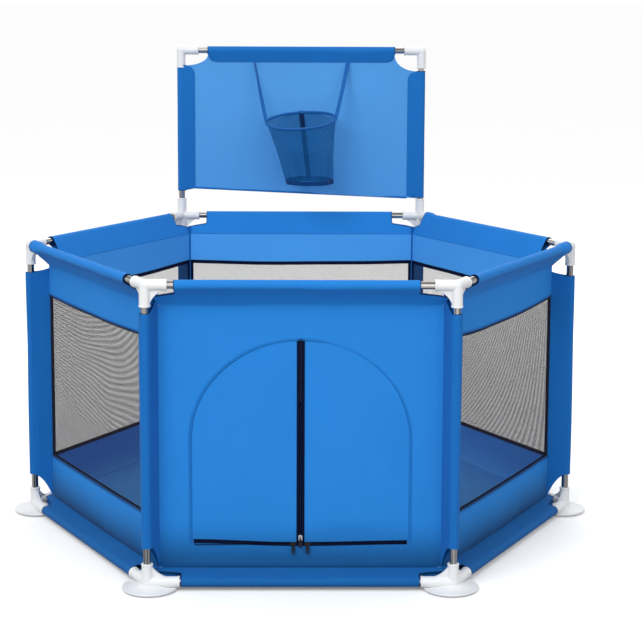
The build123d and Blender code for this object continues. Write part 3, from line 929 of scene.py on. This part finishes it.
def zipStrip(name, x0, x1, z0, z1, out):
    def place(u, v):
        x, z = x0 + (x1 - x0) * u, z0 + (z1 - z0) * v
        return frontSpot(x, z + (zipRise(x) if x1 - x0 > z1 - z0 else 0), out)
    tall = z1 - z0
    wide = x1 - x0
    columns, rows = (4, 80) if tall > wide else (60, 4)
    return clothSheet(name, columns, rows, place, (wide, tall), navyTape, thick=zipPart["tape"])


zipTopZ = door["top"] + 0.002
for hand, sign in (("left", -1), ("right", 1)):
    x0, x1 = sorted((sign * 0.00004, sign * (door["zipHalf"] + 0.0006)))
    c0, c1 = sorted((sign * door["zipHalf"], sign * (door["half"] - 0.006)))
    upright = zipStrip("tape", x0, x1, zipZ + 0.0003, zipTopZ, zipPart["tapeOut"])
    cross = zipStrip("tape", c0, c1, zipZ + 0.0003, zipZ + door["crossHalf"], zipPart["tapeOut"])
    size = zipPart["tooth"]
    count = int((zipTopZ - zipZ) / zipPart["pitch"])
    teeth = toothRow("teeth", count,
                     frontSpot(sign * 0.0017, zipZ + 0.002 + (0 if sign > 0 else 0.0013), zipPart["proud"]),
                     (0, 0, zipPart["pitch"]), (size[0], size[2], size[1]))
    crossCount = int((c1 - c0) / zipPart["pitch"])
    crossTeeth = toothRow("teeth", crossCount,
                          frontSpot(sign * (door["zipHalf"] + 0.001), zipZ + 0.0014, zipPart["proud"]),
                          (sign * zipPart["pitch"], 0, 0), (size[1], size[2], size[0] * 0.8))
    piece = joined([upright, cross, teeth, crossTeeth], "zipHalf_" + hand)
    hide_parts("zip_tape_" + hand)
    foldWith(piece, sign)

sillTape = zipStrip("tape", -door["half"] + 0.006, door["half"] - 0.006, zipZ - door["crossHalf"], zipZ - 0.0003,
                    0.0006)
sillCount = int((2 * door["half"] - 0.014) / zipPart["pitch"])
sillTeeth = toothRow("teeth", sillCount, frontSpot(-door["half"] + 0.0085, zipZ - 0.0014, zipPart["proud"]),
                     (zipPart["pitch"], 0, 0), (0.0015, 0.0024, 0.0024))
sillZip = joined([sillTape, sillTeeth], "zipSill")
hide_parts("zip_tape_sill")
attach(sillZip, "frame")


# raised welt along the arch seam, in the darker sleeve blue: painted shade for the seam's soft shadow line
archPoints = [frontSpot(*archEdge(i / 160)[0], -0.0022) for i in range(161)]
archWelt = tubeAlong("archWelt", archPoints, 0.0042, sleeveCloth)
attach(archWelt, "frame")
print("stage zips")


board = {
    "seam": 0.036,
    "topSeam": 0.031,
    "sleeveHalf": 0.2485,
    "leftLow": 0.716, "rightLow": 0.698,        # where the side sleeves begin
    "leftTop": 1.050, "rightTop": 1.036,        # and where they end
    "hemLevel": 0.709,
    "hemSlope": -0.045,
    "round": 0.026,
    "room": 0.003,        # cloth to tube
}
boardWide = 2 * (uprightX - tubeRadius - board["room"])


def boardSpot(x, z, out=0.0):
    return Vector((x, boardOut - out, z))


def hemZ(x):
    return board["hemLevel"] + board["hemSlope"] * x


def boardPlace(u, v):
    half = boardWide / 2
    x = (2 * u - 1) * half
    top = boardTopZ - tubeRadius - board["room"]
    sideTop = board["rightTop"] if x > 0 else board["leftTop"]
    inward = half - abs(x)
    notchWide = half - board["sleeveHalf"]
    if inward < notchWide:
        top -= (top - sideTop) * (1 - (inward / notchWide) ** 2) ** 0.5        # rounded notch at the elbow
    low = hemZ(x)
    z = low + (top - low) * v
    soft = ripple(Vector((x, z, 12)), 0.22, 0.005) + 0.003
    edge = ease((half - 0.03 - abs(x)) / 0.12) * ease((boardTopZ - board["topSeam"] - 0.003 - z) / 0.1)
    return boardSpot(x, z, soft * edge)


boardHeights = [boardPlace(i / 200, 1).z - boardPlace(i / 200, 0).z for i in range(201)]
boardSheet = clothSheet("boardSheet", 120, 70, boardPlace, (0.57, 0.35), boardClothMaterial)
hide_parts("board_cloth")
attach(boardSheet, "board")


def boardSleeve(name, length, spot, tipGap, rounds, inward):
    section = teardrop((0, 0), tubeRadius + 0.0022, (-tipGap, 0), 0.0013)

    def place(u, v):
        point = section[round(v * 34)].copy()
        for fromEnd, radius in ((u * length, rounds[0]), ((1 - u) * length, rounds[1])):
            if fromEnd < radius:
                keep = math.sqrt(max(0.0, 1 - (1 - fromEnd / radius) ** 2))
                point.x = max(point.x, -tubeRadius - 0.003 - (tipGap - tubeRadius - 0.003) * keep)
        wave = ripple(Vector((u * length, v * 0.2, len(name))), 0.07, 0.0018) * math.sin(math.pi * v)
        return spot(u, point.x, point.y + wave)

    around = lengthOf(section)
    piece = clothSheet(name, 70, 34, place, (length, around), sleeveCloth)
    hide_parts("board_cloth")
    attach(piece, "board")
    for end in (0, 1):
        edge = tubeAlong(f"{name}_edge{end}", [place(end, step / 34) for step in range(35)], cloth["edge"], hemTape)
        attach(edge, "board")
    seamLine = [place(0.06 + 0.88 * step / 40, 0) + Vector((0, -0.0012, 0)) for step in range(41)]
    seamLine = [spot + inward * 0.003 for spot in seamLine]
    stitchRow("stitch_" + name, seamLine, lambda spot: Vector((0, -1, 0)), "board", threadBlue)


half = board["sleeveHalf"]
boardSleeve("boardSleeve_top", 2 * half,
            lambda u, reach, out: boardSpot((2 * u - 1) * half, boardTopZ + reach, -out), board["topSeam"],
            (board["round"], board["round"]), Vector((0, 0, 1)))
for hand, sign in (("left", -1), ("right", 1)):
    low, top = board[hand + "Low"], board[hand + "Top"]
    boardSleeve("boardSleeve_" + hand, top - low,
                lambda u, reach, out: boardSpot(sign * (uprightX + reach), low + (top - low) * u, out * sign),
                board["seam"],
                (0.004, board["round"]), Vector((sign, 0, 0)))

hemSteps = [(-1 + i / 20) * (uprightX - board["seam"]) for i in range(41)]
hemPoints = [boardSpot(x, hemZ(x) + 0.001, 0.0) for x in hemSteps]
boardHem = tubeAlong("boardHem", hemPoints, 0.0032, sleeveCloth)
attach(boardHem, "board")
print("stage board")


tilt = joints["hoop_tilt"]
pivot = Vector(tilt["pos_m"])
hoop = {"radius": 0.092, "droop": 9.5, "roll": -4.0, "netDrop": 0.166, "netShift": 0.022, "netLow": 0.060}
ringTurn = Matrix.Rotation(math.radians(hoop["droop"]), 4, "X") @ Matrix.Translation((0, -hoop["radius"], 0))
ringTurn = ringTurn @ Matrix.Rotation(math.radians(hoop["roll"]), 4, "Y")
ringPlace = Matrix.Translation(pivot) @ ringTurn
ringCentre = ringPlace.translation


def ringSpot(a, reach=1.0, drop=0.0):
    return ringPlace @ Vector((hoop["radius"] * reach * math.cos(a), hoop["radius"] * reach * math.sin(a), -drop))


def netPlace(u, v):
    a = 2 * math.pi * u
    top = ringSpot(a, 0.985, 0.002)
    low = ringCentre + Vector((hoop["netShift"] + hoop["netLow"] * math.cos(a), hoop["netLow"] * math.sin(a),
                               -hoop["netDrop"]))
    spot = top.lerp(low, v)
    fold = (0.0035 * math.sin(a * 7 + v * 2) + 0.002 * math.sin(a * 12 - v * 3)) * math.sin(math.pi * v * 0.8) * v
    waist = -0.002 * math.sin(math.pi * v)
    outward = (spot - ringCentre)
    outward.z = 0
    return spot + outward.normalized() * (fold + waist)


net = clothSheet("hoopNet", 120, 40, netPlace, (0.5, 0.17), hoopNetMesh, thick=0, wrapped=True)
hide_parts("hoop_net")
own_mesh(net)
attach(net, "hoop")


def hemBand(name, v0, v1, grow, material):
    def place(u, v):
        spot = netPlace(u, v0 + (v1 - v0) * v)
        outward = spot - ringCentre
        outward.z = 0
        return spot + outward.normalized() * grow
    piece = clothSheet(name, 120, 3, place, (0.4, 0.012), material, thick=0.0012, wrapped=True)
    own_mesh(piece)
    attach(piece, "hoop")
    return piece


hemBand("netHem_low", 0.925, 1.0, 0.0003, hemTape)


def seamPlace(u, v):
    a = math.pi / 2 + (u - 0.5) * (0.13 + 0.08 * v)
    spot = netPlace((a / (2 * math.pi)), 0.98 * v)
    return spot - Vector((0, 0.0016, 0))


seam = clothSheet("netSeam", 4, 40, seamPlace, (0.009, 0.165), seamTape, thick=0.0012)
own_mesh(seam)
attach(seam, "hoop")

loop = {"wide": 0.014, "radius": 0.0046, "tab": 0.024, "foot": 0.014}
wirePath = [(boardOut - 0.0012, pivot.z + loop["tab"]), (boardOut - 0.0014, pivot.z + 0.012)]
for step in range(13):
    a = math.radians(60 + 240 * step / 12)
    wirePath.append((pivot.y + loop["radius"] * math.cos(a), pivot.z + loop["radius"] * math.sin(a)))
wirePath += [(boardOut - 0.0014, pivot.z - 0.009), (boardOut - 0.0012, pivot.z - loop["foot"])]


def loopPlace(u, v):
    y, z = wirePath[round(v * (len(wirePath) - 1))]
    return Vector(((u - 0.5) * loop["wide"], y, z))


ringLoop = clothSheet("ringLoop", 6, len(wirePath) - 1, loopPlace, (loop["wide"], 0.05), strapTape, thick=0.0008)
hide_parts("board_cloth")
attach(ringLoop, "board")

strap = {"topX": 0.124, "topZ": boardTopZ - board["topSeam"], "wide": 0.0102}
for hand, sign in (("left", -1), ("right", 1)):
    end = ringSpot(0 if sign > 0 else math.pi) + Vector((0, 0, 0.0045))
    start = boardSpot(sign * strap["topX"], strap["topZ"], 0.0016)

    def place(u, v):
        t = v
        spot = start.lerp(end, t)
        spot.x += sign * 0.001 * math.sin(math.pi * t)
        twist = 1.2 * (1 - ease(t * 1.5)) if sign > 0 else 0.35 + 0.9 * ease(t)
        offset = (u - 0.5) * strap["wide"]
        if sign < 0:
            return spot + Vector((offset * math.sin(twist), offset * math.cos(twist), 0))
        return spot + Vector((offset, 0, 0))

    tape = clothSheet("hoopStrap_" + hand, 4, 50, place, (strap["wide"], 0.16), strapTape, thick=0.0012)
    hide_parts("hoop_straps")
    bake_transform(tape)
print("stage hoop")


stageFloor = {"size": 600.0, "shade": 0.90, "bounce": 0.42, "lift": 0.16}
bpy.ops.mesh.primitive_plane_add(size=stageFloor["size"], location=(0, 0, -0.0005))
ground = bpy.context.object
ground.name = "ground"
material, tree, shader, coords = newMaterial("groundPaper")
light = tree.nodes.new("ShaderNodeLightPath")
bounced = (stageFloor["bounce"],) * 3
seen = (stageFloor["shade"],) * 3
tree.links.new(mixColour(tree, light.outputs["Is Camera Ray"], bounced, seen), shader.inputs["Base Color"])
shader.inputs["Emission Color"].default_value = (1, 1, 1, 1)
lift = mathNode(tree, "MULTIPLY", light.outputs["Is Camera Ray"], stageFloor["lift"])
tree.links.new(lift, shader.inputs["Emission Strength"])
shader.inputs["Roughness"].default_value = 0.9
ground.data.materials.append(material)

world = bpy.data.worlds.new("studio")
world.use_nodes = True
bpy.context.scene.world = world
world.node_tree.nodes["Background"].inputs["Color"].default_value = (1, 1, 1, 1)
sky = world.node_tree
skyLight = sky.nodes.new("ShaderNodeLightPath")
skyStrength = mathNode(sky, "ADD", 0.9, mathNode(sky, "MULTIPLY", skyLight.outputs["Is Camera Ray"], 0.2))
sky.links.new(skyStrength, sky.nodes["Background"].inputs["Strength"])

lamps = {
    "key": ((-2.0, -3.7, 3.9), (0, 0, 0.4), 2.4, 124),
    "fill": ((1.6, -4.2, 1.7), (0, 0, 0.4), 2.6, 32),
    "back": ((0.4, 3.4, 3.0), (0, 0, 0.8), 3.0, 50),
}
for name, (place, aim, size, power) in lamps.items():
    bpy.ops.object.light_add(type="AREA", location=place)
    lamp = bpy.context.object
    lamp.name = name
    lamp.data.size = size
    lamp.data.energy = power
    lamp.rotation_euler = (Vector(aim) - Vector(place)).to_track_quat("-Z", "Y").to_euler()

shot = {"x": -0.0021, "back": 3.9396, "above": 0.5834, "yaw": 0.0128, "pitch": 0.1349, "roll": 0.0042,
        "lens": 94.05, "shift": -0.15}
bpy.ops.object.camera_add(location=(shot["x"], -shot["back"], topRailZ + shot["above"]))
camera = bpy.context.object
turn = Matrix.Rotation(-shot["yaw"], 3, "Z") @ Matrix.Rotation(math.pi / 2 - shot["pitch"], 3, "X")
turn = turn @ Matrix.Rotation(shot["roll"], 3, "Z")
camera.rotation_euler = turn.to_euler()
camera.data.lens = shot["lens"]
camera.data.shift_y = shot["shift"]
camera.data.clip_end = 2000
bpy.context.scene.camera = camera
bpy.context.scene.view_settings.view_transform = "Standard"
print("stage light and camera")
